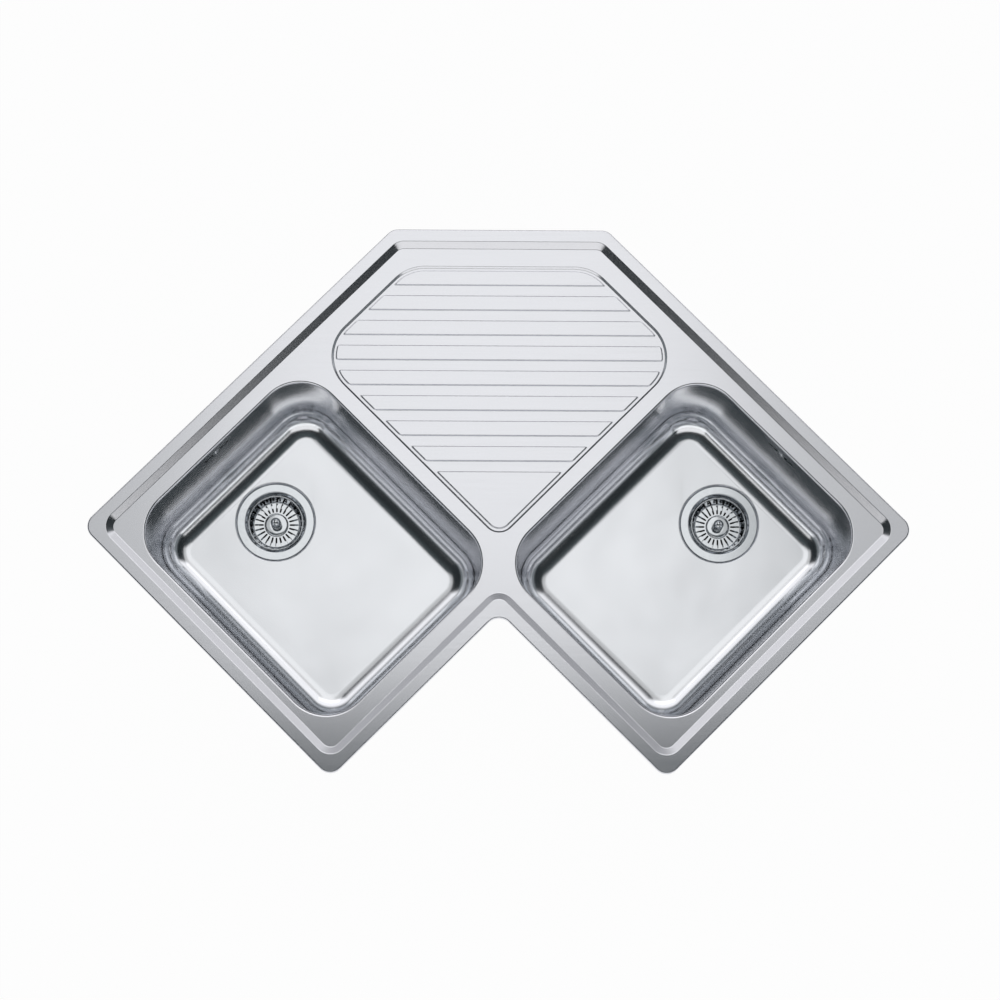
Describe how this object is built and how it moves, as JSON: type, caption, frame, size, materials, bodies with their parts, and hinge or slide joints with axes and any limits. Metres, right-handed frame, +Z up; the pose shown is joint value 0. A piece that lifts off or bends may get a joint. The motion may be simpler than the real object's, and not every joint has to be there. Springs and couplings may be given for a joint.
{
  "type": "corner kitchen sink",
  "caption": "Inset corner kitchen sink in satin steel with bowls either side of a ribbed drainer, basket strainer wastes, overflows and worktop clips.",
  "frame": {"origin": "on the worktop's top face, on the centre line of the sink, 547.3 mm in front of the wall corner", "axes": "+X to the right, +Y towards the wall corner, +Z up; the sink is symmetric in X"},
  "size_m": [1.1572, 0.778, 0.292],
  "materials": {
    "satin_steel": "satin",
    "polished_steel": "polished",
    "zinc_steel": "zinc plated",
    "brass": "turned",
    "black_rubber": "matte",
    "seal_foam": "foam",
    "bitumen_pad": "matte",
    "grey_plastic": "moulded",
    "hose_plastic": "moulded"
  },
  "bodies": {
    "sink": {"sink_deck": "satin_steel", "left_bowl": "satin_steel", "right_bowl": "satin_steel", "rim_seal": "seal_foam", "clip_brackets": "zinc_steel", "fixing_clips": "zinc_steel", "clip_screws": "zinc_steel", "left_sound_pad": "bitumen_pad", "right_sound_pad": "bitumen_pad", "left_strainer_cup": "polished_steel", "right_strainer_cup": "polished_steel", "left_flange_gasket": "black_rubber", "right_flange_gasket": "black_rubber", "left_body_gasket": "black_rubber", "right_body_gasket": "black_rubber", "left_waste_body": "grey_plastic", "right_waste_body": "grey_plastic", "left_clamp_screw": "polished_steel", "right_clamp_screw": "polished_steel", "left_clamp_nut": "brass", "right_clamp_nut": "brass", "left_overflow_gasket": "black_rubber", "right_overflow_gasket": "black_rubber", "left_overflow_elbow": "grey_plastic", "right_overflow_elbow": "grey_plastic", "left_overflow_screw": "polished_steel", "right_overflow_screw": "polished_steel", "left_overflow_hose": "hose_plastic", "right_overflow_hose": "hose_plastic", "left_hose_clips": "zinc_steel", "right_hose_clips": "zinc_steel"},
    "left_seal": {"left_basket_seal": "black_rubber"},
    "left_basket": {"left_basket": "polished_steel", "left_basket_post": "polished_steel", "left_lift_knob": "polished_steel"},
    "right_seal": {"right_basket_seal": "black_rubber"},
    "right_basket": {"right_basket": "polished_steel", "right_basket_post": "polished_steel", "right_lift_knob": "polished_steel"}
  },
  "joints": [
    {"name": "left_basket_lift", "type": "slide", "parent": "sink", "child": "left_seal", "axis": [0, 0, 1], "range_m": [0, 0.24]},
    {"name": "left_basket_turn", "type": "hinge", "parent": "left_seal", "child": "left_basket", "pos_m": [-0.32668, -0.00212, -0.1785], "axis": [0, 0, 1], "continuous": true},
    {"name": "right_basket_lift", "type": "slide", "parent": "sink", "child": "right_seal", "axis": [0, 0, 1], "range_m": [0, 0.24]},
    {"name": "right_basket_turn", "type": "hinge", "parent": "right_seal", "child": "right_basket", "pos_m": [0.32668, -0.00212, -0.1785], "axis": [0, 0, 1], "continuous": true}
  ]
}
